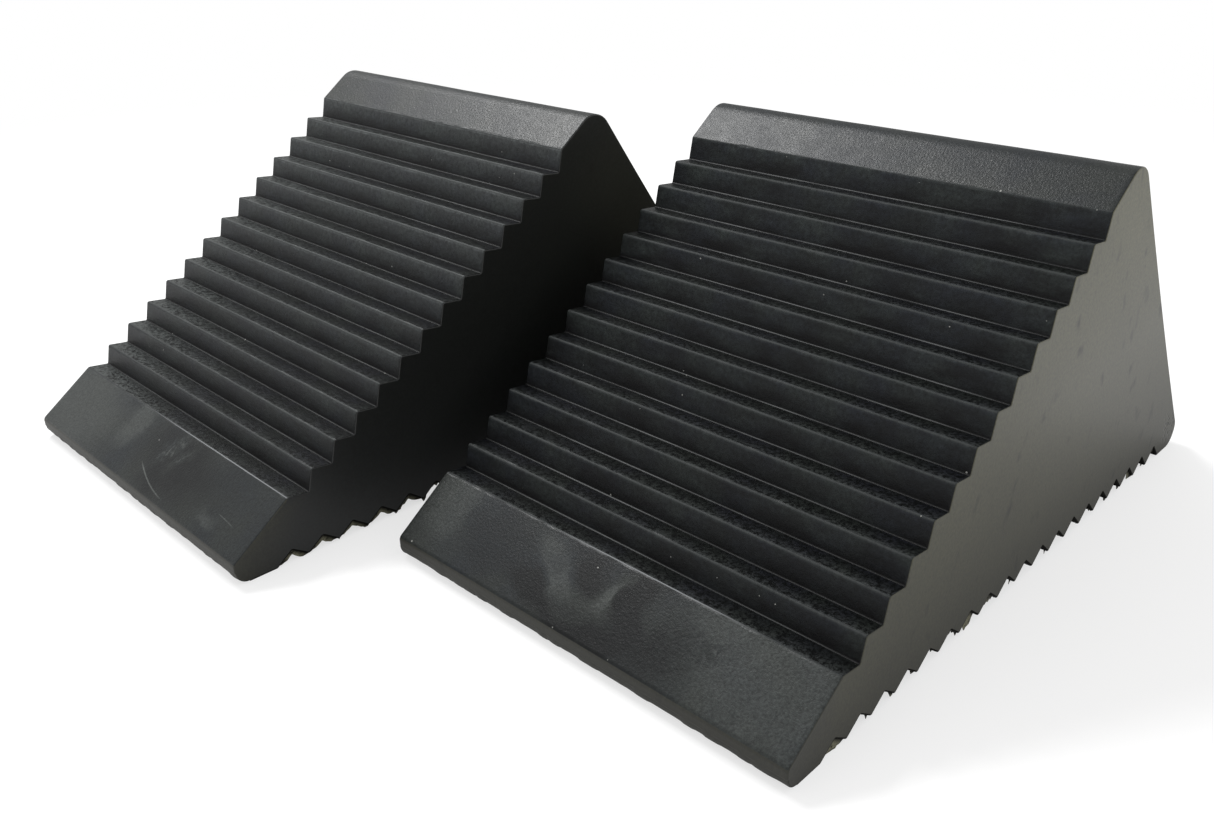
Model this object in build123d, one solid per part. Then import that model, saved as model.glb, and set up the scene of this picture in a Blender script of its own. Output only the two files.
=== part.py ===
# A pair of solid rubber wheel chocks.
#
# Each chock is one block of moulded rubber with nothing inside it: a wedge whose ramp takes the
# tyre. V grooves across the ramp leave a flight of small steps, between a plain lip at the toe
# and a rounded cap at the top. V notches across the underside leave a row of teeth that bite
# the ground, and lift it into a shallow arch, so the block stands on its toe and its heel.
# The two blocks come out of one mould and stand loose, side by side.
#
# Frame, in millimetres: +X from toe to heel, +Y from the right chock to the left one, +Z up.
# The origin is on the floor, under the middle of the pair.
from build123d import *

import os
from math import cos, radians, sin, tan

# The wedge, seen from its side. The first three lengths are taken before corners are rounded.
WIDTH = 127.0
BASE_LENGTH = 212.7
NOSE_HEIGHT = 6.5
RAMP_ANGLE = 36.05
BACK_ANGLE = 53.2
NOSE_TOP_RADIUS = 2.0
NOSE_RADIUS = 3.8
CAP_RADIUS = 7.2
HEEL_RADIUS = 5.2

# The steps: lengths run up the ramp from the nose, and both angles are against the floor.
STEPS = 13
STEP_PITCH = 9.68
LIP_LENGTH = 21.9
RISER_LEAN = 13.2
TREAD_RISE = 6.1
RIDGE_RADIUS = 0.65
VALLEY_RADIUS = 0.3

# The teeth: notches start behind a flat land at the toe and grow deeper towards the heel.
NOTCHES = 19
TOOTH_PITCH = 9.62
TOE_LAND = 12.0
NOTCH_DEPTH_TOE = 3.4
NOTCH_DEPTH_HEEL = 4.75
TOOTH_RADIUS = 0.7
NOTCH_RADIUS = 0.3

# Thick rubber shrinks as it cures, and leaves its large faces a little hollow.
RAMP_HOLLOW = 0.5
ARCH_HEIGHT = 1.3
BACK_HOLLOW = 1.3
BACK_HOLLOW_RADIUS = 2600.0

# How the left chock stands against the right one, nose corner to nose corner.
LEFT_AHEAD = 37.6
LEFT_ASIDE = 146.95
LEFT_TURN = -0.97


def bow(share, height):
    """Height of a shallow arch of the given rise, at a share from 0 to 1 of its span."""
    return 4 * height * share * (1 - share)


def ramp_corner(along, depth, radius):
    """Corner at a distance up the ramp from the nose, and at a depth square to the ramp."""
    slope = radians(RAMP_ANGLE)
    share = (along - LIP_LENGTH) / (STEPS * STEP_PITCH)
    under = depth + bow(share, RAMP_HOLLOW)
    x = along * cos(slope) + under * sin(slope)
    z = NOSE_HEIGHT + along * sin(slope) - under * cos(slope)
    return x, z, radius


def step_corners():
    """Ridges and valleys from the lip's edge up to the cap's edge.

    A tread and a riser meet the ramp at these two angles, which set how deep the V between
    two ridges is, and how far up from the lower ridge its bottom lies.
    """
    tread_angle = radians(RAMP_ANGLE + TREAD_RISE)
    riser_angle = radians(90 - RAMP_ANGLE - RISER_LEAN)
    depth = STEP_PITCH / (1 / tan(tread_angle) + 1 / tan(riser_angle))
    tread_run = depth / tan(tread_angle)
    corners = [ramp_corner(LIP_LENGTH, 0, RIDGE_RADIUS)]
    for step in range(STEPS):
        ridge_below = LIP_LENGTH + step * STEP_PITCH
        corners.append(ramp_corner(ridge_below + tread_run, depth, VALLEY_RADIUS))
        corners.append(ramp_corner(ridge_below + STEP_PITCH, 0, RIDGE_RADIUS))
    return corners


def tooth_corners():
    """Teeth and notches from the heel's land forward to the toe's land, on the arch."""
    corners = []
    for tooth in range(NOTCHES, -1, -1):
        share = tooth / NOTCHES
        corners.append((TOE_LAND + tooth * TOOTH_PITCH, bow(share, ARCH_HEIGHT), TOOTH_RADIUS))
        if tooth:
            share = (tooth - 0.5) / NOTCHES
            depth = NOTCH_DEPTH_TOE + share * (NOTCH_DEPTH_HEEL - NOTCH_DEPTH_TOE)
            notch_z = bow(share, ARCH_HEIGHT) + depth
            corners.append((TOE_LAND + (tooth - 0.5) * TOOTH_PITCH, notch_z, NOTCH_RADIUS))
    return corners


def wedge_corners():
    """Every corner of the side view with its radius: nose, ramp, cap, back, heel, underside."""
    ramp_rise = tan(radians(RAMP_ANGLE))
    back_fall = tan(radians(BACK_ANGLE))
    peak_x = (BASE_LENGTH * back_fall - NOSE_HEIGHT) / (ramp_rise + back_fall)
    peak_z = NOSE_HEIGHT + peak_x * ramp_rise
    # One blunt corner halfway down the back, rounded over the back's length, hollows it.
    dish_x = (peak_x + BASE_LENGTH) / 2 - BACK_HOLLOW * sin(radians(BACK_ANGLE))
    dish_z = peak_z / 2 - BACK_HOLLOW * cos(radians(BACK_ANGLE))
    return [
        (0, 0, NOSE_RADIUS),
        (0, NOSE_HEIGHT, NOSE_TOP_RADIUS),
        *step_corners(),
        (peak_x, peak_z, CAP_RADIUS),
        (dish_x, dish_z, BACK_HOLLOW_RADIUS),
        (BASE_LENGTH, 0, HEEL_RADIUS),
        *tooth_corners(),
    ]


def make_chock():
    """One chock: the rounded side view carried straight across the width."""
    corners = wedge_corners()
    points = [(x, z) for x, z, _ in corners]
    radii = [radius for _, _, radius in corners]
    outline = FilletPolyline(*points, radius=radii, close=True)
    side = Plane.XZ * make_face(outline)
    return extrude(side, amount=-WIDTH)


def make_pair():
    """Both chocks in the pair's frame, by node name."""
    right = make_chock()
    left = Pos(-LEFT_AHEAD, LEFT_ASIDE, 0) * Rot(0, 0, LEFT_TURN) * right
    middle = Compound([right, left]).bounding_box().center()
    to_frame = Pos(-middle.X, -middle.Y, 0)
    return {"right_chock": to_frame * right, "left_chock": to_frame * left}


def main():
    os.makedirs("parts", exist_ok=True)
    for name, chock in make_pair().items():
        chock.label = name
        export_step(chock, f"parts/{name}.step")
        box = chock.bounding_box()
        print(name, "volume", round(chock.volume), "from", box.min, "to", box.max)


main()
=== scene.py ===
# %% [markdown]
# # A pair of rubber wheel chocks
#
# A wheel chock is a wedge that keeps a parked truck or trailer from rolling. These two are solid black
# rubber out of one mould: a stepped ramp holds the tyre and a toothed underside bites the ground.
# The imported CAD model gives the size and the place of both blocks. This lesson gives them their skin:
# rounded side edges, moulding marks, worn ridges and dusty grooves, then a studio to stand in.

import math

import bpy
import numpy as np
from mathutils import Matrix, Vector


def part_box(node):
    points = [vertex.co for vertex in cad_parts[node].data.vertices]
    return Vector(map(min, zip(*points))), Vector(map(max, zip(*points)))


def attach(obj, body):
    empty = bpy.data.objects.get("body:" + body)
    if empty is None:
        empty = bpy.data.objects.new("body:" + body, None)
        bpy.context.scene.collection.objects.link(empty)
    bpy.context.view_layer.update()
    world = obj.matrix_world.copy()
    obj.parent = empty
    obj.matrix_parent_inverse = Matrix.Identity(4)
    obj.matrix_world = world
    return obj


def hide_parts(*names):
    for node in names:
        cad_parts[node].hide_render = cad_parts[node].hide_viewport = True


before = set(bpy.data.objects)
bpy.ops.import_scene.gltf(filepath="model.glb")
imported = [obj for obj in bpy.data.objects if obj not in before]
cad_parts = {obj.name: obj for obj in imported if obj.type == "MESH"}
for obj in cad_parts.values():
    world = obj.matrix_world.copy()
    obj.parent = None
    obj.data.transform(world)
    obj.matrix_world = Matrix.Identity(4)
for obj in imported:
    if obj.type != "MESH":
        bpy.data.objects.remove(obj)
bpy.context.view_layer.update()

# %% [markdown]
# ## The side view
#
# Every form of the block shows in its side view: the nose, the plain lip, the steps, the cap, the back
# and the teeth. It could be traced as a list of points, but then no step could be changed. Here it is
# a list of sharp corners worked out from a few lengths and angles, each with the radius that rounds it.
# All lengths are in millimetres until the mesh is made.

# %% Lengths and angles of the block
MM = 0.001  # a millimetre, in Blender's metres
WIDTH = 127.0
BASE_LENGTH, NOSE_HEIGHT = 212.7, 6.5
RAMP, BACK = math.radians(36.05), math.radians(53.2)
STEPS, STEP_PITCH, LIP_LENGTH = 13, 9.68, 21.9
TREAD_RISE, RISER_LEAN = math.radians(6.1), math.radians(13.2)
NOTCHES, TOOTH_PITCH, TOE_LAND = 19, 9.62, 12.0
RAMP_HOLLOW, ARCH_HEIGHT, BACK_HOLLOW = 0.5, 1.3, 1.3
RIDGE_RADIUS, VALLEY_RADIUS, TIP_RADIUS, NOTCH_RADIUS = 0.65, 0.3, 0.7, 0.3
NOTCH_DEPTH, NOTCH_DEEPENS = 3.4, 1.35
TOE_RADIUS, NOSE_RADIUS, PEAK_RADIUS, BACK_RADIUS, HEEL_RADIUS = 3.8, 2.0, 7.2, 2600.0, 5.2

low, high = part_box("right_chock")
print("CAD width", round((high.y - low.y) * 1000, 2), "mm, used here", WIDTH)


# %% Corners of the ramp and of the underside
def bow(share, height):
    """Height of a shallow arch: four times its rise, times the share of the span and what is left."""
    return 4 * height * share * (1 - share)


def ramp_corners():
    """Ridges and valleys up the ramp: along it by the pitch, and below it by the depth of a V."""
    tread, riser = RAMP + TREAD_RISE, math.pi / 2 - RAMP - RISER_LEAN
    groove = STEP_PITCH / (1 / math.tan(tread) + 1 / math.tan(riser))
    ridge_below = LIP_LENGTH + STEP_PITCH * np.arange(STEPS)
    ones = np.ones(STEPS)
    valley = [ridge_below + groove / math.tan(tread), groove * ones, VALLEY_RADIUS * ones]
    ridge = [ridge_below + STEP_PITCH, 0 * ones, RIDGE_RADIUS * ones]
    pairs = np.array([valley, ridge]).transpose(2, 0, 1).reshape(-1, 3)
    along, depth, radius = np.vstack([[LIP_LENGTH, 0, RIDGE_RADIUS], pairs]).T
    depth = depth + bow((along - LIP_LENGTH) / (STEPS * STEP_PITCH), RAMP_HOLLOW)
    x = along * math.cos(RAMP) + depth * math.sin(RAMP)
    z = NOSE_HEIGHT + along * math.sin(RAMP) - depth * math.cos(RAMP)
    return np.stack([x, z, radius], 1)


def tooth_corners():
    """Tips on a shallow arch from the heel to the toe, with a notch halfway, deeper towards the heel."""
    pitches = np.arange(2 * NOTCHES, -1, -1) / 2
    share, notch = pitches / NOTCHES, pitches % 1 > 0
    z = bow(share, ARCH_HEIGHT) + notch * (NOTCH_DEPTH + NOTCH_DEEPENS * share)
    return np.stack([TOE_LAND + TOOTH_PITCH * pitches, z, np.where(notch, NOTCH_RADIUS, TIP_RADIUS)], 1)


ramp, teeth = ramp_corners(), tooth_corners()
print("ramp corners", len(ramp), "underside corners", len(teeth))

# %% All corners of the block, with what each one is
peak_x = (BASE_LENGTH * math.tan(BACK) - NOSE_HEIGHT) / (math.tan(RAMP) + math.tan(BACK))
peak_z = NOSE_HEIGHT + peak_x * math.tan(RAMP)
dish_x = (peak_x + BASE_LENGTH) / 2 - BACK_HOLLOW * math.sin(BACK)
dish_z = peak_z / 2 - BACK_HOLLOW * math.cos(BACK)
nose = [[0, 0, TOE_RADIUS], [0, NOSE_HEIGHT, NOSE_RADIUS]]
rear = [[peak_x, peak_z, PEAK_RADIUS], [dish_x, dish_z, BACK_RADIUS], [BASE_LENGTH, 0, HEEL_RADIUS]]
corners = np.vstack([nose, ramp, rear, teeth])
first_ridge, peak = len(nose), len(nose) + len(ramp)
last_ridge, heel_corner, first_tooth = peak - 1, peak + 2, peak + len(rear)
corner = np.arange(len(corners))
on_ramp = (corner >= first_ridge) & (corner < peak)
is_ridge = on_ramp & ((corner - first_ridge) % 2 == 0)
is_valley = on_ramp & ~is_ridge
print("corners", len(corners), "ridges", is_ridge.sum(), "valleys", is_valley.sum())

# %% [markdown]
# ## Rounding the corners
#
# A Bevel modifier could round the corners of a plain extrusion, but one width suits neither the cap nor
# the teeth. Here each corner becomes an arc of its own radius. The arc starts and ends where it touches
# the two straights, and the straights get two points just beside each arc, so that the soft shading of
# the arc stays on the arc and the faces between stay flat.

# %% Outline with rounded corners
ARC, STRAIGHT = 17, 5  # points on each
CLOSE, NEXT = 0.12, 0.5  # millimetres from an arc to its two neighbours, less on a short straight


def unit(vectors):
    """Vectors shortened or stretched to length one."""
    return vectors / np.linalg.norm(vectors, axis=-1, keepdims=True)


def rounded_outline(corners):
    """Arc points, then points on the straight to the next arc, with outward normals.

    The arc's centre lies on the bisector, at the radius over the sine of half the corner's angle.
    """
    tip, radius = corners[:, :2], corners[:, 2:3]
    back, ahead = unit(np.roll(tip, 1, 0) - tip), unit(np.roll(tip, -1, 0) - tip)
    half = np.arccos(np.clip((back * ahead).sum(1, keepdims=True), -1, 1)) / 2
    centre = tip + unit(back + ahead) * radius / np.sin(half)
    turn = np.sign(back[:, 1:] * ahead[:, :1] - back[:, :1] * ahead[:, 1:])
    start = tip + back * radius / np.tan(half) - centre
    angle = turn * (math.pi - 2 * half) * np.linspace(0, 1, ARC)
    spoke = np.stack([start[:, :1] * np.cos(angle) - start[:, 1:] * np.sin(angle),
                      start[:, :1] * np.sin(angle) + start[:, 1:] * np.cos(angle)], 2)
    arc = centre[:, None] + spoke
    arc_normal = -turn[:, None] * unit(spoke)
    leave, arrive = arc[:, -1], np.roll(arc[:, 0], -1, 0)
    length = np.linalg.norm(arrive - leave, axis=1, keepdims=True)
    close, next_to = np.minimum(CLOSE, length / 6) / length, np.minimum(NEXT, length / 4) / length
    share = np.hstack([close, next_to, np.full_like(close, 0.5), 1 - next_to, 1 - close])
    line = leave[:, None] + (arrive - leave)[:, None] * share[..., None]
    run = unit(arrive - leave)
    line_normal = np.repeat(np.stack([-run[:, 1], run[:, 0]], 1)[:, None], STRAIGHT, 1)
    return np.concatenate([arc, line], 1), np.concatenate([arc_normal, line_normal], 1)


# The small arcs keep every fourth of their points, and the short straights of the teeth only their ends.
SMALL_RADIUS = 1.5
span = ARC + STRAIGHT
step = np.arange(span)
small = (corners[:, 2] < SMALL_RADIUS)[:, None] & (step < ARC) & (step % 4 > 0)
short = (corner >= first_tooth)[:, None] & (step > ARC) & (step < span - 1)
kept = ~small & ~short
outline, outward = (points[kept] for points in rounded_outline(corners))
print("outline points", len(outline), "from", outline.min(0).round(2), "to", outline.max(0).round(2))

# %% [markdown]
# ## Zones along the outline
#
# The finish changes round the block: crests are rubbed light and carry a faint painted highlight, each crease
# has a painted highlight, treads are paler beside their crest from dust and painted light, and the foot of
# each riser is painted black, a painted shade. This could be painted on by place, but then a changed step
# would lose its paint.
# So each zone is a number on every point of the outline, none at 0 and full at 1, and the mesh keeps it as an
# attribute that the material reads.

# %% Zone numbers
point_corner = np.repeat(corner[:, None], span, 1)[kept]
on_arc = np.repeat((step < ARC)[None], len(corners), 0)[kept]
# The way along each arc, and along each straight, goes from 0 to 1.
way = np.where(step < ARC, step / (ARC - 1), (step - ARC) / (STRAIGHT - 1))
way = np.repeat(way[None], len(corners), 0)[kept]
ridge_arc, valley_arc = is_ridge[point_corner] & on_arc, is_valley[point_corner] & on_arc
riser = is_valley[point_corner] & ~on_arc
tread = is_ridge[point_corner] & ~on_arc & (point_corner < last_ridge)
under = point_corner >= first_tooth
cap = (point_corner == last_ridge) & ~on_arc
lip_crest = ridge_arc & (point_corner == first_ridge)
# The crest zone marks rubbed crests that also carry a faint painted highlight, the crease zone a painted
# highlight, the foot zone a painted shade, and the tread's zone beside the crest dust with painted light.
zones = {
    "crest": ridge_arc * np.sin(math.pi * way),
    "crease_highlight": valley_arc * np.sin(math.pi * way) ** 4,
    "foot": riser * (1 - way) + valley_arc,
    "dust_and_light": tread * (1 - way) ** 3 + ridge_arc * way,
}
DULL, TREAD, SATIN, SIDE, UNDER = range(5)
finish = np.where(on_ramp[point_corner] & ~cap, DULL, SATIN)
finish[tread] = TREAD
# The nose is as dusty as the sides, from its foot to halfway round its top.
finish[(point_corner == 0) | ((point_corner == 1) & on_arc & (way < 0.5))] = SIDE
finish[under] = UNDER
print("points on crests", int(ridge_arc.sum()), "treads", int(tread.sum()), "risers", int(riser.sum()))

# %% [markdown]
# ## Carrying the outline across the width
#
# The block is the outline carried across its width, like dough through a cutter. A plain extrusion ends
# in knife edges, which rubber never has. So the last rings draw the outline in along a quarter circle,
# and one more ring lies flat in the side face, which keeps the big face free of shading from the edge.
# The skin also wanders by up to a tenth of a millimetre, as cured rubber does, and only inwards.

# %% Rings across the width
EDGE, RINGS = 0.4, 128
SIDE_RING = 0.08  # how much further in the ring lies that is flat in the side face
WANDER, TORN_BACK = 0.1, 0.22  # how far the skin wanders, and how far the nose's edge is torn back


def ring_rows():
    """Place across the width and inset of each ring: a quarter circle in, the plain width, and out.

    A slow sine shifts the rings of the plain width a little, so that they are not quite even.
    """
    quarter = np.linspace(0, math.pi / 2, 5)
    edge_y, edge_in = EDGE * (1 - np.sin(quarter)), EDGE * (1 - np.cos(quarter))
    middle = np.linspace(0, 1, RINGS)[1:-1]
    plain = EDGE + (WIDTH - 2 * EDGE) * (middle + 0.002 * np.sin(2 * math.pi * middle))
    y = np.concatenate([[0.0], edge_y[::-1], plain, WIDTH - edge_y, [WIDTH]])
    flat = [EDGE + SIDE_RING]
    inset = np.concatenate([flat, edge_in[::-1], np.zeros(len(plain)), edge_in, flat])
    return y, inset


ring_y, ring_inset = ring_rows()
print("rings", len(ring_y), "first inset", ring_inset[:6].round(3))


# %% Wandering skin, nicked crests and a ragged nose
def wander(along, y, seed):
    """A slow inward wander: three crossed sine waves, shifted to lie between zero and one."""
    phase = np.random.default_rng(seed).uniform(0, 2 * math.pi, 5)
    wave = (np.sin(y / 17 + phase[0]) * np.sin(along / 23 + phase[1])
            + 0.6 * np.sin(y / 7.3 + along / 31 + phase[2])
            + 0.4 * np.sin(y / 3.1 + phase[3]) * np.sin(along / 5.7 + phase[4]))
    return 0.5 + wave / 4


def dents(rng, rows, chance, deepest):
    """Random dents at a few of the rings, each softened by a quarter of its depth to either side."""
    shape = (len(ring_y), rows)
    dent = np.where(rng.random(shape) < chance, deepest * rng.random(shape), 0)
    return 0.5 * dent + 0.25 * np.roll(dent, 1, 0) + 0.25 * np.roll(dent, -1, 0)


def block(seed):
    """Grid of the block's skin in millimetres: outline less its depth along the normal, ring by ring."""
    along = np.concatenate([[0], np.cumsum(np.linalg.norm(np.diff(outline, axis=0), axis=1))])
    rng = np.random.default_rng(seed)
    depth = WANDER * wander(along[None], ring_y[:, None], seed) * ~under + ring_inset[:, None]
    depth = depth + ridge_arc * dents(rng, len(corners), chance=0.4, deepest=0.14)[:, point_corner]
    # Where the mould closes, under the nose, the edge is torn back and leaves a nub every few millimetres.
    nubs = dents(rng, 1, chance=0.18, deepest=0.9)
    torn = (TORN_BACK - nubs - dents(rng, 1, chance=0.7, deepest=0.15)).clip(0, 1)
    depth = depth + (point_corner == 0) * on_arc * torn
    section = outline[None] - outward[None] * depth[..., None]
    y = np.broadcast_to(ring_y[:, None], depth.shape)
    return np.stack([section[..., 0], y, section[..., 1]], 2)


skins = {body: block(seed) for seed, body in enumerate(("right", "left"), 1)}
for body, skin in skins.items():
    print(body, "grid", skin.shape, "spans", skin.min((0, 1)).round(2), skin.max((0, 1)).round(2))

# %% [markdown]
# ## From grid to mesh
#
# The grid becomes quads between neighbouring rings, closed round the outline, and one large face at each
# side. The arrays go straight into the mesh, which is much quicker than adding faces one at a time.


# %% Mesh from the grid
def closed_mesh(name, points):
    """Quads join each ring to the next, round the outline, and a face of the whole ring closes each end."""
    rings, around = points.shape[:2]
    here = np.arange(rings * around).reshape(rings, around)
    ahead = np.roll(here, -1, 1)
    quads = np.stack([here[:-1], ahead[:-1], ahead[1:], here[1:]], -1).reshape(-1)
    loops = np.concatenate([quads, here[0][::-1], here[-1]])
    totals = np.concatenate([np.full((rings - 1) * around, 4), [around, around]])
    mesh = bpy.data.meshes.new(name)
    mesh.vertices.add(rings * around)
    mesh.vertices.foreach_set("co", (points * MM).astype(np.float32).ravel())
    mesh.loops.add(len(loops))
    mesh.loops.foreach_set("vertex_index", loops.astype(np.int32))
    mesh.polygons.add(len(totals))
    mesh.polygons.foreach_set("loop_start", np.concatenate([[0], np.cumsum(totals)[:-1]]).astype(np.int32))
    mesh.update(calc_edges=True)
    mesh.polygons.foreach_set("use_smooth", np.arange(len(totals)) < len(totals) - 2)
    return mesh


def keep_zone(mesh, name, values, shape=(len(ring_y), len(outline))):
    """One number per outline point and ring, kept as a named attribute."""
    attribute = mesh.attributes.new(name, "FLOAT", "POINT")
    attribute.data.foreach_set("value", np.broadcast_to(values, shape).astype(np.float32).ravel())


def keep_finishes(mesh, edge_rows=3):
    """The finish number of every face. The side finish goes on the side faces and the rows next to them."""
    finishes = np.tile(finish, (len(ring_y) - 1, 1))
    finishes[:edge_rows] = finishes[-edge_rows:] = np.where(finish == UNDER, UNDER, SIDE)
    mesh.polygons.foreach_set("material_index", np.append(finishes.ravel(), [SIDE, SIDE]).astype(np.int32))


def new_object(name, data):
    """An object at the origin that holds a mesh, a lamp or a camera, linked to the scene."""
    made = bpy.data.objects.new(name, data)
    bpy.context.scene.collection.objects.link(made)
    return made


def add_piece(name, mesh, body):
    """A new object that rides on its block."""
    piece = new_object(name, mesh)
    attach(piece, body)
    return piece


print("faces on a block", (len(ring_y) - 1) * len(outline) + 2)

# %% [markdown]
# ## What sets the two blocks apart
#
# Both come from one mould, but they have not had the same life. Each could have its own materials, which
# would drift apart as they are tuned. So the blocks share their materials, and zones of their own say how
# strong the painted highlight in a crease is, where the treads are paler, where the risers carry a painted
# reflection, how much talc tone is left, which paints the left block's sides dark as a painted shade, and
# which stretch of the lip's crest is rubbed and carries a painted highlight.

# %% Zones of one block
CREASE_FADES = 18  # millimetres from a side within which the line in a crease dies away


def own_zones(body):
    """Zones that differ between the blocks, and most of them across the width as well."""
    left, across = body == "left", ring_y[:, None]
    share = across / WIDTH
    # The painted highlight in the creases stops short of both sides, and is weaker on the left.
    from_side = np.minimum(across, WIDTH - across)
    crease_highlight_strength = (from_side / CREASE_FADES).clip(0.15, 1) * (1 - left * (0.3 + 0.5 * share))
    # The lip's crest is painted pale where a tyre meets it, rubbed and with a painted highlight: mid-width on
    # one block, the near half on the other.
    middle, reach = {"right": (54, 26), "left": (30, 40)}[body]
    return {
        "crease_highlight": zones["crease_highlight"] * crease_highlight_strength,
        # The left block's treads are painted paler, most away from the other block and beside the crests.
        "paler_away": left * 2.4 * share ** 4 * (1.3 - way),
        # Its risers carry a painted reflection on their upper half.
        "riser_sheen": 1.0 if left else 0.0,
        # Talc tone covers the right block's sides and part of both noses. The left block's sides get almost
        # none and are painted nearly black, a painted shade from the narrow gap between the blocks.
        "talc_and_gap_shade": np.where(point_corner < first_ridge, 0.6, 0.05 if left else 1.0),
        "rubbed": lip_crest * np.sin(math.pi * way) * np.exp(-((across - middle) / reach) ** 4),
    }


print("zones of the left block", list(zones | own_zones("left")))


# %% Both blocks in their places
def place(points, turn, corner_x, corner_y):
    """Turns a block about its own toe corner and moves that corner, all in millimetres."""
    cosine, sine = math.cos(turn), math.sin(turn)
    x, y, z = points[..., 0], points[..., 1], points[..., 2]
    return np.stack([corner_x + x * cosine - y * sine, corner_y + x * sine + y * cosine, z], -1)


# The left block stands further out at the toe, a width and a gap across, and turned by a degree.
FURTHER_OUT, ACROSS, TURNED = 37.6, 146.95, math.radians(-0.97)
toe_x, toe_y = low.x * 1000, low.y * 1000
stands = {"right": (0.0, toe_x, toe_y), "left": (TURNED, toe_x - FURTHER_OUT, toe_y + ACROSS)}
chocks = {}
for body, stand in stands.items():
    name = body + "_rubber_block"
    mesh = closed_mesh(name, place(skins[body], *stand))
    for zone, values in (zones | own_zones(body)).items():
        keep_zone(mesh, zone, values)
    keep_finishes(mesh)
    chocks[body] = add_piece(name, mesh, body)
    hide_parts(body + "_chock")
    print(name, "faces", len(mesh.polygons), "box", [round(v * 1000, 1) for v in chocks[body].dimensions])

# %% [markdown]
# ## Torn flash
#
# Where the mould closes, a skin of rubber squeezes out along the lower edge of each side and is torn off by
# hand. What is left hangs in the notches: a web as thin as card, a millimetre inside the side face, ragged
# below, with a few longer tongues. It could be displaced out of the block's own faces, but a web bridges
# the notches, so each side gets a thin strip of its own that follows the teeth.

# %% Strips of torn flash
# Distances in millimetres: from tear to tear, the longest plain drop, how far clear of the ground it stays,
# how far up inside the notches the strip starts, and how far in from the side face it hangs.
TEAR, LONGEST, CLEAR, TUCK, IN_FROM_SIDE = 0.9, 1.8, 0.08, 0.5, 0.8
# Place along the block, half width and drop of each tongue, in millimetres.
tongues = {
    "right": [(17.5, 5.0, 4.4), (64.6, 2.4, 2.8), (74.8, 3.2, 6.0), (84.4, 2.8, 3.2), (174, 3.5, 3.4),
              (204, 7, 5.0)],
    "left": [(16.8, 6.0, 2.4), (26.4, 5.0, 2.6), (36.1, 5.0, 2.4), (45.7, 5.0, 2.6), (55.3, 5.0, 2.4)],
}


def torn_flash(body, seed, inner):
    """Strip under the outline: it starts a little inside the notches, and hangs below them by a random drop.

    The drop is the square of a random wave, less a little, so that it is gone in places. Each tongue is a
    parabola across its width. The web waves to and fro as it hangs, and thins from 0.36 to 0.12 mm.
    """
    rng = np.random.default_rng(seed)
    low_heel = (point_corner == heel_corner) & (outline[:, 1] < 5)
    edge = outline[on_arc & (under | low_heel)][::-1]
    x = np.arange(3.0, 207.0, 0.3)
    ceiling = np.interp(x, edge[:, 0], edge[:, 1])
    tears = np.arange(0, 210, TEAR)
    ragged = np.interp(x, tears, rng.random(len(tears)))
    drop = LONGEST * ragged ** 2 - 0.3
    for along, half, deep in tongues[body]:
        drop = np.maximum(drop, deep * (1 - ((x - along) / half) ** 2) * (0.75 + 0.25 * ragged) - 0.35)
    bottom = np.maximum(ceiling - drop, CLEAR)
    share = np.linspace(0, 1, 6)
    z = (ceiling + TUCK)[:, None] + (bottom - ceiling - TUCK)[:, None] * share
    y = inner + (0.35 * np.sin(x / 1.7) * ragged)[:, None] * share
    half_thick = 0.18 - 0.12 * share
    front, back = (np.stack([x[:, None] + 0 * z, y + side * half_thick, z], 2) for side in (-1, 1))
    hang = ((ceiling[:, None] - z) / LONGEST).clip(0, 1)
    return np.hstack([front, back[:, ::-1]]), np.hstack([hang, hang[:, ::-1]])


flashes = []
for seed, (body, stand) in enumerate(stands.items(), 11):
    for side, inner in (("outer", IN_FROM_SIDE), ("inner", WIDTH - IN_FROM_SIDE)):
        strip, hang = torn_flash(body, seed, inner)
        mesh = closed_mesh(f"{body}_torn_flash_{side}", place(strip, *stand))
        keep_zone(mesh, "hang", hang, hang.shape)
        flashes.append(add_piece(mesh.name, mesh, body))
        print(mesh.name, "faces", len(mesh.polygons), "hangs to", strip[..., 2].min().round(2), "mm up")

# %% [markdown]
# ## Finishes
#
# Colours are written as they look on screen and turned to the linear values that the shader adds and
# multiplies. One small helper adds a node, sets it and links it, so each material reads top to bottom.
# A Mix node set to colours takes its share at input 0 and the two colours at 6 and 7, and gives output 2.


# %% Colour and node helpers
def linear(hex_colour):
    """A colour such as #1b1c1d as linear red, green and blue, with full cover."""
    srgb = np.array([int(hex_colour[i:i + 2], 16) for i in (1, 3, 5)]) / 255
    rgb = np.where(srgb <= 0.04045, srgb / 12.92, ((srgb + 0.055) / 1.055) ** 2.4)
    return (*rgb.tolist(), 1.0)


def add(owner, kind, inputs=None, **settings):
    """Adds a node. Settings are its own; inputs are plain values, or an output of another node."""
    made = owner.node_tree.nodes.new(kind)
    for name, value in settings.items():
        setattr(made, name, value)
    for name, value in (inputs or {}).items():
        if isinstance(value, bpy.types.NodeSocket):
            owner.node_tree.links.new(value, made.inputs[name])
        else:
            made.inputs[name].default_value = value
    return made


def emptied(owner):
    """A material or a world with its nodes switched on, and none in it yet."""
    owner.use_nodes = True
    owner.node_tree.nodes.clear()
    return owner


def new_material(name, *zones):
    """A material, the place of each point on the object, and each zone that it reads from the mesh."""
    material = emptied(bpy.data.materials.new(name))
    where = add(material, "ShaderNodeTexCoord").outputs["Object"]
    read = [add(material, "ShaderNodeAttribute", attribute_name=zone).outputs["Fac"] for zone in zones]
    return material, where, *read


print("carbon black rubber", [round(v, 4) for v in linear("#1c1d1e")])

# %% [markdown]
# ### What the finishes share
#
# The finishes are one rubber, told apart by how coarse the grain is, how patchy, and how dusty. Each could
# be built from nothing, but the same few patterns would come back at other sizes. So each pattern is one
# function, and its size is in millimetres.


# %% Patterns that the finishes share
def per_mm(size):
    """Noise scale for a pattern of that size in millimetres, on coordinates in metres."""
    return 1000 / size


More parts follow.
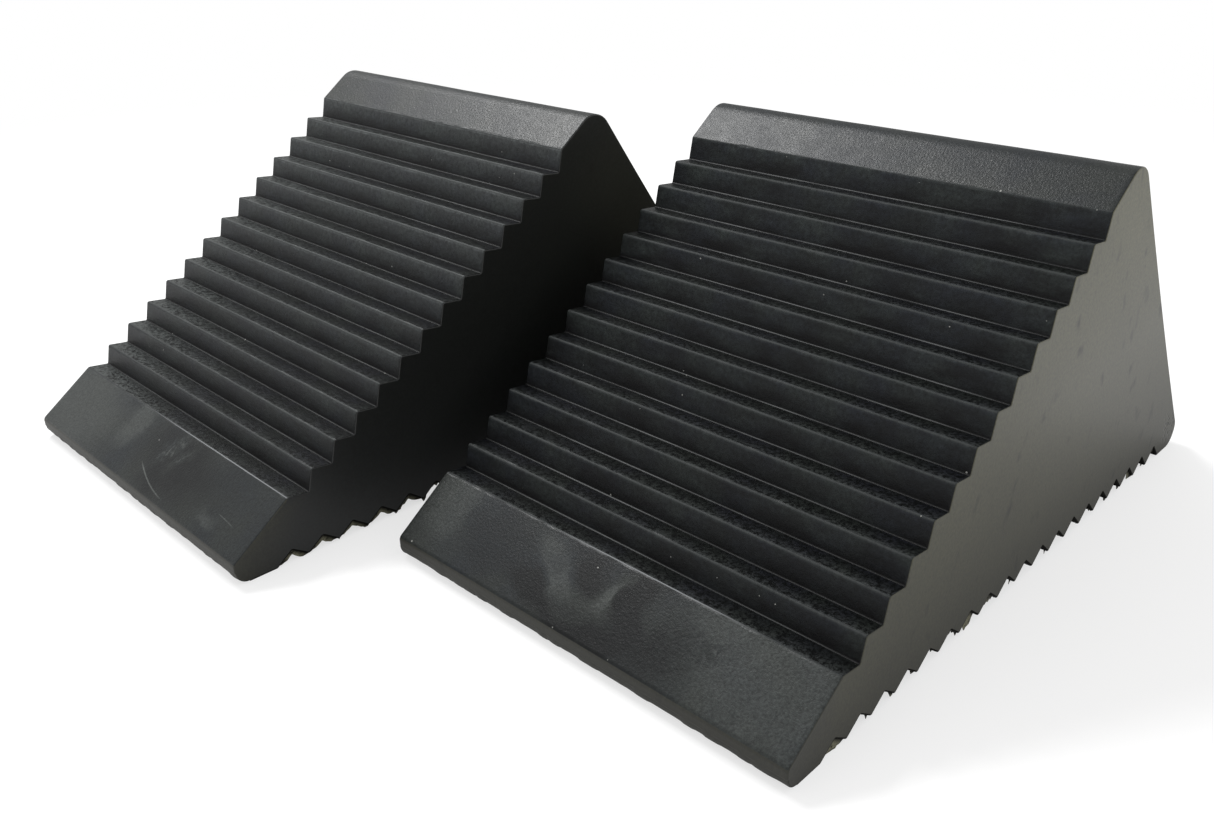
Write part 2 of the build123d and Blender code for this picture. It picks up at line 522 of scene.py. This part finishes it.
def spots(material, where, size, cut, levels=(0.0, 1.0), detail=3.0, roughness=0.5, distortion=0.0):
    """Soft spots of a size in millimetres: the noise as it is, and with the cut values taken to levels."""
    noise = add(material, "ShaderNodeTexNoise", {
        "Vector": where, "Scale": per_mm(size), "Detail": detail, "Roughness": roughness,
        "Distortion": distortion}).outputs["Fac"]
    stretched = add(material, "ShaderNodeMapRange", {
        "Value": noise, "From Min": cut[0], "From Max": cut[1], "To Min": levels[0],
        "To Max": levels[1]}).outputs["Result"]
    return noise, stretched


def by_height(material, where, heights, values):
    """A value that changes evenly between two heights above the ground, in millimetres."""
    up = add(material, "ShaderNodeSeparateXYZ", {"Vector": where}).outputs["Z"]
    return add(material, "ShaderNodeMapRange", {
        "Value": up, "From Min": heights[0] * MM, "From Max": heights[1] * MM, "To Min": values[0],
        "To Max": values[1]}).outputs["Result"]


def dust_specks(material, where, tone, rare, largest):
    """White specks on a tone: the middles of those 3.5 mm cells whose own random number is above rare."""
    cell = add(material, "ShaderNodeTexVoronoi", {"Vector": where, "Scale": per_mm(3.5)})
    pick = add(material, "ShaderNodeSeparateColor", {"Color": cell.outputs["Color"]}).outputs["Red"]
    size = add(material, "ShaderNodeMapRange", {
        "Value": pick, "From Min": rare, "From Max": 1.0, "To Max": largest}).outputs["Result"]
    speck = add(material, "ShaderNodeMath", {0: cell.outputs["Distance"], 1: size},
                operation="LESS_THAN").outputs[0]
    return add(material, "ShaderNodeMix", {0: speck, 6: tone, 7: linear("#8c8c88")},
               data_type="RGBA").outputs[2]


def finish_rubber(material, tone, *reliefs, rough, specular):
    """Closes a rubber material: relief over relief, then its shader, at rubber's IOR of 1.5, and output.

    A relief is its height, its strength and its depth in millimetres, and a last word if it goes in.
    """
    relief = {}
    for height, strength, deep, *inwards in reliefs:
        bump = add(material, "ShaderNodeBump", {
            "Height": height, "Strength": strength, "Distance": deep * MM, **relief}, invert=bool(inwards))
        relief = {"Normal": bump.outputs["Normal"]}
    shader = add(material, "ShaderNodeBsdfPrincipled", {
        "Base Color": tone, "Roughness": rough, "IOR": 1.5, "Specular IOR Level": specular, **relief})
    add(material, "ShaderNodeOutputMaterial", {"Surface": shader.outputs["BSDF"]})
    print(material.name, len(material.node_tree.nodes), "nodes")


print("noise scale of a 1.2 mm grain", round(per_mm(1.2), 1))

# %% [markdown]
# ### Dull moulded rubber, on the risers and crests
#
# Both blocks are natural rubber filled with carbon black and cured in a steel mould. The filler makes it
# nearly black. The mould's grooves are cut with a dull tool, so the steps scatter light. The crests are
# rubbed a little lighter and carry a faint painted highlight, the foot of each riser is painted dark as a
# painted shade, and each crease has a thin, broken, pale line that is a painted highlight. Painted textures
# could show this, but the zones on the mesh put each mark on its own edge.

# %% Dull moulded rubber: tone
dull, where, crest_zone, crease_highlight_zone, foot_zone, riser_sheen_zone, rubbed_and_highlight_zone = new_material(
    "moulded_rubber_dull", "crest", "crease_highlight", "foot", "riser_sheen", "rubbed")
# The mould's grain is under half a millimetre. Drawn at 1.2 mm and finer, it shows near and far.
grain, speckle = spots(dull, where, 1.2, (0.3, 0.7), (0.3, 1.7), detail=4.0, roughness=0.8)
# Release agent dries in patches of about 14 mm, some bluer and some greyer.
_, patch = spots(dull, where, 14, (0.38, 0.62), roughness=0.6)
tone = add(dull, "ShaderNodeMix", {0: patch, 6: linear("#181b1f"), 7: linear("#212524")},
           data_type="RGBA").outputs[2]
# The foot of each riser and its crease are painted near black, a painted shade, unevenly, in runs about 5 mm
# tall and 15 mm long.
runs = add(dull, "ShaderNodeMapping", {"Vector": where, "Scale": (1.0, 0.33, 1.0)}).outputs["Vector"]
_, painted_foot_shade = spots(dull, runs, 5, (0.35, 0.65), (-0.35, 0.35), roughness=0.6)
painted_foot_shade = add(dull, "ShaderNodeMath", {0: foot_zone, 1: painted_foot_shade}, operation="ADD").outputs[0]
tone = add(dull, "ShaderNodeMix", {0: painted_foot_shade, 6: tone, 7: linear("#020203")}, data_type="RGBA").outputs[2]
# The tone grows paler with height, from 0.65 times at the floor to 1.6 times at 100 mm, so the upper steps
# are paler than the lower ones.
height = by_height(dull, where, (0, 100), (0.65, 1.6))
tone = add(dull, "ShaderNodeVectorMath", {0: tone, 1: height}, operation="MULTIPLY").outputs["Vector"]
print(dull.name, len(dull.node_tree.nodes), "nodes so far")

# %% Dull moulded rubber: painted reflection, wear, painted highlights and dust
# On the left block the upper half of each riser is painted pale, most on the higher steps: a painted
# reflection of the light that the top of a riser catches.
upper = add(dull, "ShaderNodeMath", {0: foot_zone, 1: -1.0, 2: 1.0}, operation="MULTIPLY_ADD").outputs[0]
upper = add(dull, "ShaderNodeMath", {0: upper, 1: 2.0}, operation="POWER").outputs[0]
painted_riser_sheen = add(dull, "ShaderNodeMapRange", {
    "Value": height, "From Min": 0.9, "From Max": 1.6}).outputs["Result"]
for share in (upper, riser_sheen_zone):
    painted_riser_sheen = add(dull, "ShaderNodeMath", {0: painted_riser_sheen, 1: share}, operation="MULTIPLY").outputs[0]
tone = add(dull, "ShaderNodeMix", {0: painted_riser_sheen, 6: tone, 7: linear("#484b4b")}, data_type="RGBA").outputs[2]
tone = add(dull, "ShaderNodeVectorMath", {0: tone, 1: speckle}, operation="MULTIPLY").outputs["Vector"]
# Wear on the crests follows the grain, and they carry a faint painted highlight; the lip's crest is painted
# paler still where it is rubbed. The painted highlight in a crease comes and goes over about 35 mm.
worn_and_highlight = add(dull, "ShaderNodeMath", {0: crest_zone, 1: speckle}, operation="MULTIPLY").outputs[0]
_, fading = spots(dull, where, 35, (0.4, 0.6), (0.1, 0.85), detail=2.0)
line = add(dull, "ShaderNodeMath", {0: crease_highlight_zone, 1: fading}, operation="MULTIPLY").outputs[0]
for cover, colour in ((worn_and_highlight, "#2a2d2d"), (line, "#646666"), (rubbed_and_highlight_zone, "#7a7c7e")):
    tone = add(dull, "ShaderNodeMix", {0: cover, 6: tone, 7: linear(colour)}, data_type="RGBA").outputs[2]
# Specks of white dust are about 0.3 mm across, and lie one every 20 mm or so.
tone = dust_specks(dull, where, tone, rare=0.65, largest=0.075)
# Oil and mud have roughened the foot of each riser, and tyres its crest.
rough = 0.42
for zone, rougher in ((crest_zone, 0.25), (foot_zone, 0.15)):
    rough = add(dull, "ShaderNodeMath", {0: zone, 1: rougher, 2: rough}, operation="MULTIPLY_ADD").outputs[0]
finish_rubber(dull, tone, (grain, 0.7, 0.16), rough=rough, specular=0.2)

# %% [markdown]
# ### Grainy moulded rubber, on the treads
#
# No tyre reaches down to the treads, so they keep the mould's coarsest grain, painted black in its hollows as
# a painted shade. Dust could be scattered as meshes, but dust this fine only makes the grain paler, so the
# grain itself says where the treads are paler: dust, and painted light beside the crest, clear of the
# crease's shade.

# %% Grainy moulded rubber
grainy, where, dust_and_light_zone, paler_away_zone = new_material("moulded_rubber_grainy", "dust_and_light", "paler_away")
grain, coarse = spots(grainy, where, 1.1, (0.45, 0.57), detail=4.0, roughness=0.85)
# Oil leaves some stretches of a tread bluer and others greener, over about 14 mm.
_, stretch = spots(grainy, where, 14, (0.4, 0.6), detail=2.0)
tone = add(grainy, "ShaderNodeMix", {0: stretch, 6: linear("#0f1016"), 7: linear("#111412")},
           data_type="RGBA").outputs[2]
# The hollows of the grain are painted near black, a painted shade in them.
tone = add(grainy, "ShaderNodeMix", {0: coarse, 6: linear("#020303"), 7: tone}, data_type="RGBA").outputs[2]
# Beside the crest the grain's peaks are painted paler, dust with painted light clear of the crease's shade;
# on the left block they are paler over the whole tread, most away from the other block.
cling = add(grainy, "ShaderNodeMath", {0: dust_and_light_zone, 1: 0.85, 2: paler_away_zone},
            operation="MULTIPLY_ADD").outputs[0]
cling = add(grainy, "ShaderNodeMath", {0: cling, 1: coarse}, operation="MULTIPLY").outputs[0]
tone = add(grainy, "ShaderNodeMix", {0: cling, 6: tone, 7: linear("#434645")}, data_type="RGBA").outputs[2]
finish_rubber(grainy, tone, (grain, 0.7, 0.2), rough=0.4, specular=0.102)

# %% [markdown]
# ### Satin moulded rubber, on the lip, cap, nose and back
#
# The plain faces come off smooth steel and take a satin skin. Hands and tyres leave hazy films on it, wiped
# places and scratches. A noise could scatter these anywhere, but a wipe has a place, a size and a slant, so
# each one is an oval of its own: the room it takes is bent by a noise, and fine streaks break it up.

# %% Where the films and wipes lie on the lips
# Kind, block, millimetres up the lip and across it, half sizes, slant in degrees, and strength: pale above
# zero, wiped dark below. A haze is an even oval, a brushed one has strokes in it, and an arc is the rim of
# the oval, on the side that its slant points to.
films = [
    ("haze", "right", 12, 10, 20, 36, 0, 0.35), ("haze", "right", 16, 36, 9, 16, 0, 0.25),
    ("haze", "right", 14, 77.5, 6.5, 11, -25, 0.8), ("arc", "right", 17, 66.5, 9, 9.4, 207, 0.8),
    ("haze", "right", 13, 58.5, 3.4, 8, 47, 0.5), ("haze", "right", 15.5, 67, 5.5, 6, 0, -0.8),
    ("haze", "right", 14, 53, 5.5, 3.4, 10, -1.3), ("arc", "right", 10.9, 57, 7.4, 8.4, 245, -0.5),
    ("haze", "right", 6.5, 82, 4.5, 9, 0, -0.8), ("haze", "right", 3, 66, 4, 20, 0, -0.5),
    ("haze", "right", 14, 45, 7, 4, 0, 0.3), ("haze", "right", 12, 98, 13, 16, 0, -0.5),
    ("haze", "right", 10, 60, 20, 36, 0, -0.75), ("brushed", "right", 11, 35, 5.5, 16, 16, -0.7),
    ("haze", "right", 16, 118, 12, 12, 0, 0.3),
    ("haze", "left", 12, 116, 20, 40, 0, 0.4), ("haze", "left", 17, 80, 12, 6.5, -35, 0.45),
    ("brushed", "left", 15, 57, 10, 4.5, -43, 1.5), ("brushed", "left", 14, 49, 8, 3.5, -46, 1.3),
    ("haze", "left", 6, 23.5, 2.5, 8, 0, 0.4), ("haze", "left", 12, 50, 14, 28, 0, -0.9),
    ("haze", "left", 14, 24, 10, 14, 0, -0.2),
]
# Block, place, half length, slant, bow over half length, half width over half length, and strength.
scratches = [("left", 5.0, 54.2, 11.1, 77, 0.088, 0.024, 3.0),
             ("left", 8.1, 14.8, 4.6, 85, -0.02, 0.04, 1.05)]


def on_lip(body, along, across):
    """Point on a lip in metres, in the pair's frame, from millimetres up the lip and across it."""
    lip = np.array([along * math.cos(RAMP), across, NOSE_HEIGHT + along * math.sin(RAMP)])
    return place(lip, *stands[body]) * MM


print("films", len(films), "scratches", len(scratches), "first at", on_lip(*films[0][1:4]).round(4))

# %% Satin moulded rubber: bent room and strokes
satin, where = new_material("moulded_rubber_satin")
# Up to ten millimetres of bend, with folds of about 12 mm, turns ovals into smears.
BEND = 10 * MM
fold = add(satin, "ShaderNodeTexNoise", {
    "Vector": where, "Scale": per_mm(12), "Detail": 3.0}).outputs["Color"]
bent = add(satin, "ShaderNodeVectorMath", {0: fold, 1: (BEND, BEND, 0.0), 2: where},
           operation="MULTIPLY_ADD").outputs["Vector"]
# Wipes leave strokes about 1.2 mm wide and 6 mm long, slanting across the block.
slanted = add(satin, "ShaderNodeMapping", {
    "Vector": where, "Rotation": (0, 0, math.radians(-45)), "Scale": (0.2, 1.0, 1.0)}).outputs["Vector"]
_, stroke = spots(satin, slanted, 1.2, (0.42, 0.62), distortion=0.8)
print("films bend by up to", BEND / MM, "mm")


# %% One film, and all of them together
def film_strength(kind, body, along, across, half_up, half_across, slant, strength):
    """Full in the middle of a bent oval and none from its rim on; an arc is full on the rim instead."""
    middle = on_lip(body, along, across) + [BEND / 2, BEND / 2, 0]
    oval = add(satin, "ShaderNodeMapping", {
        "Vector": bent, "Location": middle.tolist(), "Rotation": (0, 0, math.radians(slant)),
        "Scale": (half_up * MM, half_across * MM, 1.0)}, vector_type="TEXTURE").outputs["Vector"]
    reach = add(satin, "ShaderNodeVectorMath", {0: oval}, operation="LENGTH").outputs["Value"]
    if kind == "arc":
        for operation, value in (("ADD", -1.0), ("ABSOLUTE", 0.0), ("DIVIDE", 0.5)):
            reach = add(satin, "ShaderNodeMath", {0: reach, 1: value}, operation=operation).outputs[0]
    soft = add(satin, "ShaderNodeMapRange", {
        "Value": reach, "From Min": 1.0, "From Max": 0.3, "To Max": strength},
        interpolation_type="SMOOTHSTEP").outputs["Result"]
    if kind == "haze":
        return soft
    if kind == "arc":
        front = add(satin, "ShaderNodeSeparateXYZ", {"Vector": oval}).outputs["X"]
        broken_by = add(satin, "ShaderNodeMapRange", {
            "Value": front, "From Min": -0.3, "From Max": 0.5}).outputs["Result"]
    else:
        broken_by = add(satin, "ShaderNodeMath", {0: stroke, 1: 0.7, 2: 0.3},
                        operation="MULTIPLY_ADD").outputs[0]
    return add(satin, "ShaderNodeMath", {0: soft, 1: broken_by}, operation="MULTIPLY").outputs[0]


film = 0.0
for row in films:
    film = add(satin, "ShaderNodeMath", {0: film, 1: film_strength(*row)}, operation="ADD").outputs[0]
# Every film is mottled, in spots of about 4 mm.
_, mottle = spots(satin, where, 4, (0.3, 0.7), (0.85, 1.15), detail=4.0, roughness=0.65)
film = add(satin, "ShaderNodeMath", {0: film, 1: mottle}, operation="MULTIPLY").outputs[0]
print(len(films), "films,", len(satin.node_tree.nodes), "nodes so far")


# %% One scratch, and all of them over the films
def scratch_strength(body, along, across, half, slant, bow_share, half_width, strength):
    """Full on a shallow parabola, bowed by a share of its half length, and none at its width or ends."""
    local = add(satin, "ShaderNodeMapping", {
        "Vector": where, "Location": on_lip(body, along, across).tolist(),
        "Rotation": (0, 0, math.radians(slant)), "Scale": (half * MM, half * MM, 1.0)},
        vector_type="TEXTURE").outputs["Vector"]
    run = add(satin, "ShaderNodeSeparateXYZ", {"Vector": local})
    run_x, run_y = run.outputs["X"], run.outputs["Y"]
    off = add(satin, "ShaderNodeMath", {0: run_x, 1: run_x}, operation="MULTIPLY").outputs[0]
    off = add(satin, "ShaderNodeMath", {0: off, 1: bow_share, 2: run_y}, operation="MULTIPLY_ADD").outputs[0]
    off = add(satin, "ShaderNodeMath", {0: off, 1: -bow_share}, operation="ADD").outputs[0]
    off = add(satin, "ShaderNodeMath", {0: off}, operation="ABSOLUTE").outputs[0]
    line = add(satin, "ShaderNodeMapRange", {
        "Value": off, "From Min": half_width, "From Max": 0.0, "To Max": strength}).outputs["Result"]
    end = add(satin, "ShaderNodeMath", {0: run_x}, operation="ABSOLUTE").outputs[0]
    end = add(satin, "ShaderNodeMapRange", {"Value": end, "From Min": 1.0, "From Max": 0.7}).outputs["Result"]
    fade = add(satin, "ShaderNodeMapRange", {
        "Value": run_x, "From Min": -1.0, "From Max": 0.2, "To Min": 0.4}).outputs["Result"]
    for share in (end, fade):
        line = add(satin, "ShaderNodeMath", {0: line, 1: share}, operation="MULTIPLY").outputs[0]
    return line


for row in scratches:
    film = add(satin, "ShaderNodeMath", {0: film, 1: scratch_strength(*row)}, operation="ADD").outputs[0]
print(len(scratches), "scratches,", len(satin.node_tree.nodes), "nodes so far")

# %% Satin moulded rubber: tone, grain and gloss
# Patches of about 30 mm differ slightly in gloss and in tone, under fine grain that is drawn at 0.7 mm.
_, patch = spots(satin, where, 30, (0.35, 0.65), detail=4.0, distortion=0.9)
tone = add(satin, "ShaderNodeMix", {0: patch, 6: linear("#1a1e21"), 7: linear("#232624")},
           data_type="RGBA").outputs[2]
wiped = add(satin, "ShaderNodeMath", {0: film, 1: -1.0}, operation="MULTIPLY").outputs[0]
for cover, colour in ((wiped, "#060809"), (film, "#474a48")):
    tone = add(satin, "ShaderNodeMix", {0: cover, 6: tone, 7: linear(colour)}, data_type="RGBA").outputs[2]
grain, speckle = spots(satin, where, 0.7, (0.3, 0.7), (0.5, 1.5), roughness=0.75)
tone = add(satin, "ShaderNodeVectorMath", {0: tone, 1: speckle}, operation="MULTIPLY").outputs["Vector"]
tone = dust_specks(satin, where, tone, rare=0.75, largest=0.08)
rough = add(satin, "ShaderNodeMapRange", {"Value": patch, "To Min": 0.1, "To Max": 0.04}).outputs["Result"]
rough = add(satin, "ShaderNodeMath", {0: mottle, 1: 0.3, 2: rough}, operation="MULTIPLY_ADD").outputs[0]
# The lips are worn a little smoother than the caps, which keep more of the mould's sandy grain.
sandy = by_height(satin, where, (30, 90), (0.55, 0.75))
finish_rubber(satin, tone, (grain, sandy, 0.16), rough=rough, specular=0.2)

# %% [markdown]
# ### Matt rubber, on the two side faces and the nose
#
# The side faces are dusted with talc so that blocks do not stick in a stack. Talc and bloom turn the
# black to a flat greenish grey, with faint rubbed blotches a few millimetres long and pits at the heel.
# A plain grey would look like plastic: the talc lies in clouds over the black, painted paler high up and
# darker low down as painted reflection and painted shade, and the left block's sides are painted nearly
# black, a painted shade.

# %% Matt side rubber: talc, painted reflection and painted shade
matt, where, talc_and_gap_shade_zone = new_material("talc_dusted_rubber_matt", "talc_and_gap_shade")
cloud = add(matt, "ShaderNodeTexNoise", {
    "Vector": where, "Scale": per_mm(26), "Detail": 3.0, "Roughness": 0.5}).outputs["Fac"]
tone = add(matt, "ShaderNodeMix", {0: cloud, 6: linear("#3a3926"), 7: linear("#4a4935")},
           data_type="RGBA").outputs[2]
# The tone is painted paler high up and darker towards the ground: a painted reflection of the bright floor,
# and painted shade where the side mirrors the floor beside the block.
height = by_height(matt, where, (0, 100), (0.3, 1.7))
tone = add(matt, "ShaderNodeVectorMath", {0: tone, 1: height}, operation="MULTIPLY").outputs["Vector"]
# Where the talc zone is low the side is painted nearly black: on the left block's sides this is a painted
# shade from the gap between the blocks.
tone = add(matt, "ShaderNodeMix", {0: talc_and_gap_shade_zone, 6: linear("#121415"), 7: tone}, data_type="RGBA").outputs[2]
# Rubbed marks stand upright, few and faint: they are the peaks of a noise 5 mm wide and 8 mm tall.
upright = add(matt, "ShaderNodeMapping", {"Vector": where, "Scale": (1.0, 1.0, 0.6)}).outputs["Vector"]
_, rubbed = spots(matt, upright, 5, (0.64, 0.78), (0.0, 0.7), detail=2.0)
tone = add(matt, "ShaderNodeMix", {0: rubbed, 6: tone, 7: linear("#0c0d0a")}, data_type="RGBA").outputs[2]
grain, speckle = spots(matt, where, 0.8, (0.3, 0.7), (0.65, 1.35), roughness=0.7)
tone = add(matt, "ShaderNodeVectorMath", {0: tone, 1: speckle}, operation="MULTIPLY").outputs["Vector"]
print(matt.name, len(matt.node_tree.nodes), "nodes so far")

# %% Matt side rubber: pits at the heel, and gloss
# Holes of about 1 mm pit the right block's heel, within 9 mm of a spot 203 mm along and 10 mm up.
heel = place(np.array([203.0, 0.0, 10.0]), *stands["right"]) * MM
far_off = add(matt, "ShaderNodeVectorMath", {0: where, 1: heel.tolist()},
              operation="DISTANCE").outputs["Value"]
near_heel = add(matt, "ShaderNodeMapRange", {
    "Value": far_off, "From Min": 9 * MM, "From Max": 3 * MM}).outputs["Result"]
hole = add(matt, "ShaderNodeTexVoronoi", {"Vector": where, "Scale": per_mm(1.6)}).outputs["Distance"]
hole = add(matt, "ShaderNodeMapRange", {"Value": hole, "From Min": 0.45, "From Max": 0.2}).outputs["Result"]
pits = add(matt, "ShaderNodeMath", {0: near_heel, 1: hole}, operation="MULTIPLY").outputs[0]
tone = add(matt, "ShaderNodeMix", {0: pits, 6: tone, 7: linear("#050504")}, data_type="RGBA").outputs[2]
# Rubbed places and the foot of the side, ground by the road, are rougher.
rough = by_height(matt, where, (0, 50), (0.52, 0.38))
rough = add(matt, "ShaderNodeMath", {0: rubbed, 1: 0.05, 2: rough}, operation="MULTIPLY_ADD").outputs[0]
finish_rubber(matt, tone, (grain, 0.4, 0.08), (pits, 1.0, 0.3, "inwards"), rough=rough, specular=0.44)

# %% [markdown]
# ### Ground-worn rubber underneath in painted shade, and torn flash
#
# The teeth stand on the ground, and nothing polishes them, so they mirror very little. They are painted
# near black, a painted shade under the block. Torn rubber turns pale at the torn edge; where it leaves the
# notch it is painted dark, a painted shade in the notch, so its colour follows how far the web hangs down.

# %% Ground-worn rubber underneath, in painted shade
underside_in_shade, where = new_material("underside_rubber_painted_shade")
grit = add(underside_in_shade, "ShaderNodeTexNoise", {
    "Vector": where, "Scale": per_mm(1.0), "Detail": 4.0, "Roughness": 0.7}).outputs["Fac"]
# The teeth and notches are painted near black, a painted shade under the block.
tone = add(underside_in_shade, "ShaderNodeMix", {0: grit, 6: linear("#010101"), 7: linear("#14140f")},
           data_type="RGBA").outputs[2]
finish_rubber(underside_in_shade, tone, (grit, 0.8, 0.3), rough=0.75, specular=0.05)

# %% Torn rubber
torn, where, hang_zone = new_material("torn_flash_rubber", "hang")
fibre, fibre_light = spots(torn, where, 1.2, (0.35, 0.55), detail=4.0, roughness=0.7)
pale = add(torn, "ShaderNodeMath", {0: hang_zone, 1: fibre_light}, operation="MULTIPLY").outputs[0]
# The web is painted dark where it leaves the notch, a painted shade there, and pale towards its torn edge.
tone = add(torn, "ShaderNodeMix", {0: pale, 6: linear("#030303"), 7: linear("#8a8874")},
           data_type="RGBA").outputs[2]
finish_rubber(torn, tone, (fibre, 0.8, 0.3), rough=0.6, specular=0.1)

# %% Materials onto the pieces
# The blocks take theirs in the order of the finish numbers.
for chock in chocks.values():
    for material in (dull, grainy, satin, matt, underside_in_shade):
        chock.data.materials.append(material)
for flash in flashes:
    flash.data.materials.append(torn)
print("materials on each block", [material.name for material in chocks["right"].data.materials])

# %% [markdown]
# ## The studio
#
# Black rubber shows almost only what it mirrors, so the room matters more than any lamp's strength.
# More lamps could light it, but each would show as a hot spot. So the floor and the room are white, with
# a dimmer part low behind the blocks, and one soft lamp stands behind, halfway up, and lights the caps.

# %% Floor
FLOOR = 8  # metres from the middle to each edge
floor_mesh = bpy.data.meshes.new("studio_floor")
floor_corners = [(-FLOOR, -FLOOR, 0), (FLOOR, -FLOOR, 0), (FLOOR, FLOOR, 0), (-FLOOR, FLOOR, 0)]
floor_mesh.from_pydata(floor_corners, [], [(0, 1, 2, 3)])
floor = new_object("studio_floor", floor_mesh)
print(floor.name, "is", 2 * FLOOR, "m square")


# %% White paper on the floor
def looked_at(owner):
    """Whether a mirror looks, and a number that is one where the camera, a mirror or glass looks."""
    ray = add(owner, "ShaderNodeLightPath")
    seen = ray.outputs["Is Camera Ray"]
    for other in ("Is Glossy Ray", "Is Transmission Ray"):
        seen = add(owner, "ShaderNodeMath", {0: seen, 1: ray.outputs[other]}, operation="MAXIMUM").outputs[0]
    return ray.outputs["Is Glossy Ray"], seen


paper, where = new_material("white_backdrop_paper")
mirrored, seen = looked_at(paper)
# Away from the blocks the paper fades to plain white, so that no horizon shows.
reach = add(paper, "ShaderNodeVectorMath", {0: where}, operation="LENGTH").outputs["Value"]
far = add(paper, "ShaderNodeMapRange", {"Value": reach, "From Min": 0.25, "From Max": 0.7},
          interpolation_type="SMOOTHSTEP").outputs["Result"]
lit = add(paper, "ShaderNodeBsdfDiffuse", {"Color": linear("#a2a2a2")}).outputs["BSDF"]
# Mirrored in the rubber, the paper darkens under and between the blocks, within about 100 mm.
shade = add(paper, "ShaderNodeAmbientOcclusion", {"Distance": 0.1}, samples=8).outputs["AO"]
shade = add(paper, "ShaderNodeMapRange", {
    "Value": mirrored, "To Min": 1.0, "To Max": shade}).outputs["Result"]
glow = add(paper, "ShaderNodeMath", {0: seen, 1: 0.65}, operation="MULTIPLY").outputs[0]
glow = add(paper, "ShaderNodeMath", {0: glow, 1: shade}, operation="MULTIPLY").outputs[0]
glow = add(paper, "ShaderNodeEmission", {"Strength": glow}).outputs["Emission"]
near_paper = add(paper, "ShaderNodeAddShader", {0: lit, 1: glow}).outputs[0]
far_paper = add(paper, "ShaderNodeEmission", {"Strength": 1.0}).outputs["Emission"]
fade = add(paper, "ShaderNodeMath", {0: far, 1: seen}, operation="MULTIPLY").outputs[0]
sheet = add(paper, "ShaderNodeMixShader", {0: fade, 1: near_paper, 2: far_paper}).outputs[0]
add(paper, "ShaderNodeOutputMaterial", {"Surface": sheet})
floor_mesh.materials.append(paper)
print(paper.name, len(paper.node_tree.nodes), "nodes")

# %% Room
world = emptied(bpy.data.worlds.new("studio_room"))
bpy.context.scene.world = world
mirrored, seen = looked_at(world)
strength = add(world, "ShaderNodeMapRange", {"Value": seen, "To Min": 0.8, "To Max": 1.0}).outputs["Result"]
# Low behind the blocks, where the treads and cap tops mirror it, the room is dimmer: most within 25 degrees
# of that direction, and not at all beyond 53.
LOW_BEHIND = (0.7, 0.69, 0.17)
looking = add(world, "ShaderNodeTexCoord").outputs["Generated"]
towards = add(world, "ShaderNodeVectorMath", {0: looking, 1: LOW_BEHIND},
              operation="DOT_PRODUCT").outputs["Value"]
dim = add(world, "ShaderNodeMapRange", {"Value": towards, "From Min": 0.6, "From Max": 0.9, "To Max": 0.5},
          interpolation_type="SMOOTHSTEP").outputs["Result"]
dim = add(world, "ShaderNodeMath", {0: dim, 1: mirrored}, operation="MULTIPLY").outputs[0]
strength = add(world, "ShaderNodeMath", {0: strength, 1: dim}, operation="SUBTRACT").outputs[0]
room = add(world, "ShaderNodeBackground", {"Color": linear("#ffffff"), "Strength": strength})
add(world, "ShaderNodeOutputWorld", {"Surface": room.outputs["Background"]})
print("room is dimmest towards", LOW_BEHIND)


# %% Lamps
def axes(right, up, back):
    """The turn that takes X, Y and Z to three directions. Lamps and cameras look against the last."""
    return Matrix(np.stack([right, up, back], 1).tolist())


def soft_lamp(name, bearing, height, distance, width, tall, watts):
    """A flat lamp at a bearing from +X towards +Y and a height, both in degrees, aimed at the pair."""
    data = bpy.data.lights.new(name, "AREA")
    data.shape, data.size, data.size_y, data.energy = "RECTANGLE", width, tall, watts
    lamp = new_object(name, data)
    turn, lift = math.radians(bearing), math.radians(height)
    away = np.array([math.cos(turn) * math.cos(lift), math.sin(turn) * math.cos(lift), math.sin(lift)])
    middle_of_pair = np.array([0, 0, 0.05])
    lamp.location = away * distance + middle_of_pair
    right = np.array([-math.sin(turn), math.cos(turn), 0.0])
    lamp.rotation_euler = axes(right, np.cross(away, right), away).to_euler()


soft_lamp("lamp_behind", bearing=88, height=53, distance=1.2, width=0.5, tall=0.27, watts=13.2)
print("lamps", [lamp.name for lamp in bpy.data.lights])

# %% [markdown]
# ## The camera
#
# The camera stands low at the toe end and looks along the pair from the right, so that both ramps, the
# lips and one side face show. Tracking a target would be simpler, but this camera leans by a degree.

# %% Camera
view = bpy.data.cameras.new("camera")
view.lens, view.sensor_width, view.clip_start = 33.22, 36.0, 0.01
camera = new_object("camera", view)
heading, pitch, roll = math.radians(44.39), math.radians(25.83), math.radians(-0.97)
ahead = np.array([math.cos(heading) * math.cos(pitch), math.sin(heading) * math.cos(pitch), -math.sin(pitch)])
level = np.array([math.sin(heading), -math.cos(heading), 0.0])
right = math.cos(roll) * level + math.sin(roll) * np.cross(level, ahead)
# The eye is before the right block's toe and to its right, 167 mm above the floor.
eye = (low.x - 0.1435, low.y - 0.0924, 0.1666)
camera.matrix_world = Matrix.Translation(eye) @ axes(right, np.cross(right, ahead), -ahead).to_4x4()
bpy.context.scene.camera = camera
print("camera at", [round(v * 1000) for v in eye], "mm")

# %% Look
bpy.context.scene.view_settings.view_transform = "Standard"
bpy.context.view_layer.update()
